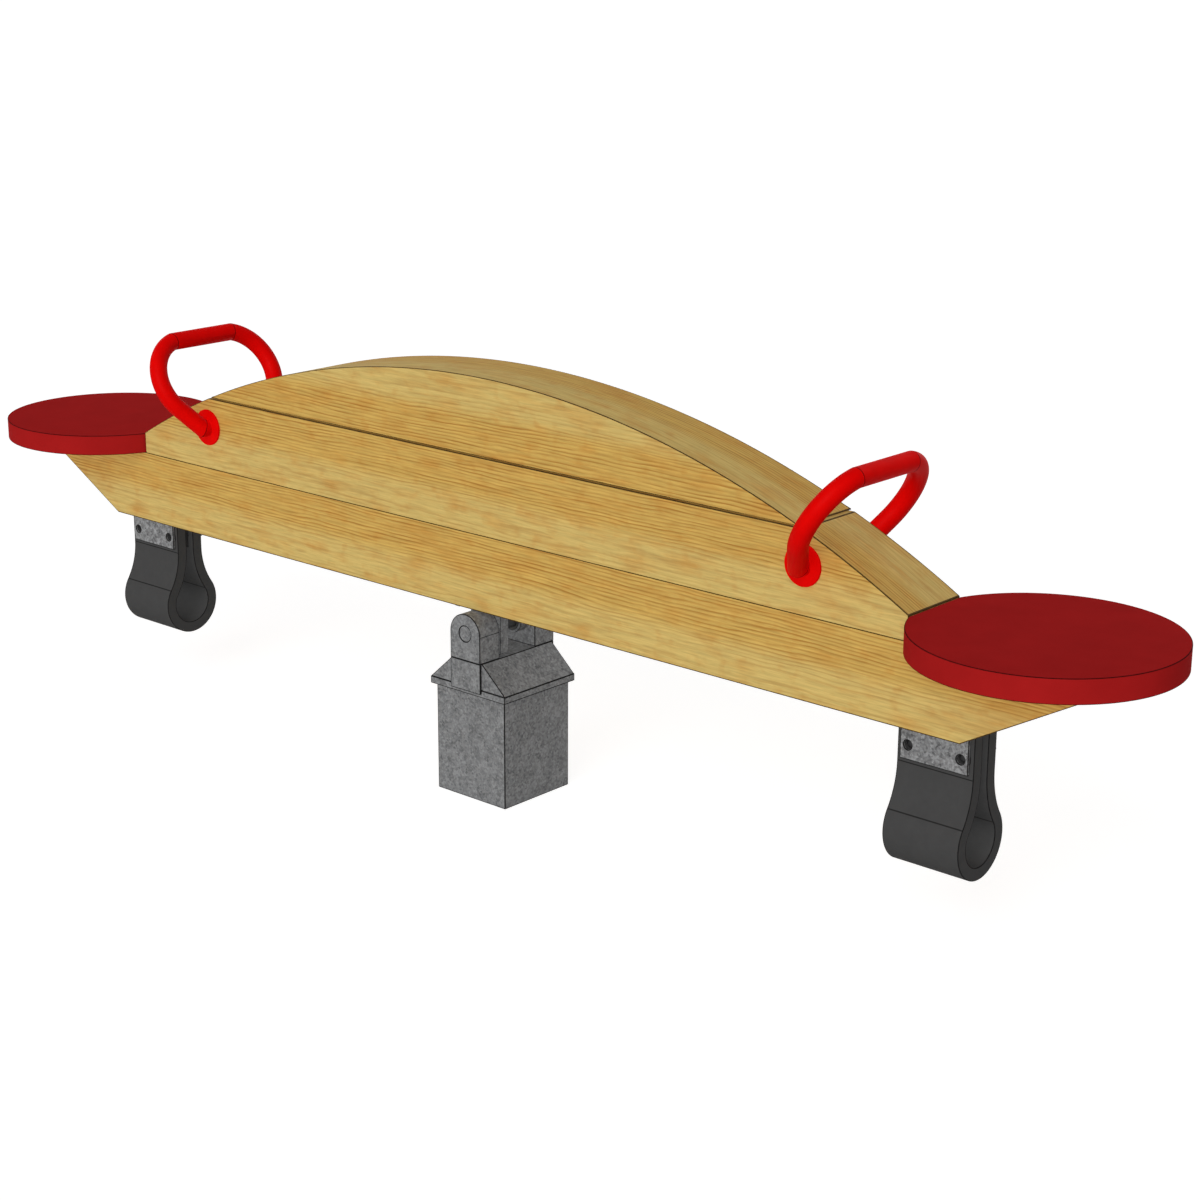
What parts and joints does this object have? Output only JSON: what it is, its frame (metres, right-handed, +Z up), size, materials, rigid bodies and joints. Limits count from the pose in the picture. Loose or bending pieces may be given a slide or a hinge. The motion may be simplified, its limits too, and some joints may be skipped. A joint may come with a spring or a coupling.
{
  "type": "toddler rocker",
  "caption": "Low see-saw for toddlers: arched laminated timber beam with round end seats and bent tube handles, pivoted on a square steel post, with looped rubber dampers beneath.",
  "frame": {"origin": "centre of the post's foot, at ground level", "axes": "+X along the beam towards the right seat, +Y across it away from the side the picture shows, +Z up"},
  "size_m": [1.8904, 0.2998, 0.5527],
  "materials": {
    "galvanised": "hot-dip galvanised, matt with a fine spangle",
    "timber": "planed pine, treated and oiled",
    "seat_board": "dark red board, matt",
    "red_paint": "bright red powder coat, satin",
    "rubber": "moulded, matt",
    "black_steel": "plate, painted black",
    "zinc": "zinc plated",
    "nylon": "natural nylon"
  },
  "bodies": {
    "post": {"post_tube": "galvanised", "post_cap": "galvanised", "front_ear": "galvanised", "rear_ear": "galvanised", "front_ear_strap": "galvanised", "rear_ear_strap": "galvanised", "pivot_pin": "zinc", "pin_grub_screw": "zinc"},
    "rocker": {"pivot_hanger": "galvanised", "front_pivot_bush": "nylon", "rear_pivot_bush": "nylon", "hanger_screw_1": "zinc", "hanger_screw_2": "zinc", "hanger_screw_3": "zinc", "hanger_screw_4": "zinc", "lower_timber": "timber", "middle_timber": "timber", "upper_timber": "timber", "inner_tie_screw_1": "zinc", "inner_tie_screw_2": "zinc", "middle_tie_screw_1": "zinc", "middle_tie_screw_2": "zinc", "outer_tie_screw_1": "zinc", "outer_tie_screw_2": "zinc", "left_seat": "seat_board", "right_seat": "seat_board", "left_inner_seat_screw": "zinc", "left_outer_seat_screw": "zinc", "right_inner_seat_screw": "zinc", "right_outer_seat_screw": "zinc", "left_handle": "red_paint", "right_handle": "red_paint", "left_front_handle_flange": "red_paint", "left_rear_handle_flange": "red_paint", "right_front_handle_flange": "red_paint", "right_rear_handle_flange": "red_paint", "left_handle_tie_rod": "zinc", "right_handle_tie_rod": "zinc", "left_damper_hanger": "black_steel", "right_damper_hanger": "black_steel", "left_damper_hanger_screw_1": "zinc", "left_damper_hanger_screw_2": "zinc", "left_damper_hanger_screw_3": "zinc", "left_damper_hanger_screw_4": "zinc", "right_damper_hanger_screw_1": "zinc", "right_damper_hanger_screw_2": "zinc", "right_damper_hanger_screw_3": "zinc", "right_damper_hanger_screw_4": "zinc", "left_damper_strap": "rubber", "right_damper_strap": "rubber", "left_front_damper_plate": "galvanised", "left_rear_damper_plate": "galvanised", "right_front_damper_plate": "galvanised", "right_rear_damper_plate": "galvanised", "left_damper_bolt_1": "zinc", "left_damper_bolt_2": "zinc", "right_damper_bolt_1": "zinc", "right_damper_bolt_2": "zinc"}
  },
  "joints": [
    {"name": "beam_pivot", "type": "hinge", "parent": "post", "child": "rocker", "pos_m": [0, 0, 0.2245], "axis": [0, 1, 0], "range_deg": [-6, 6]}
  ]
}
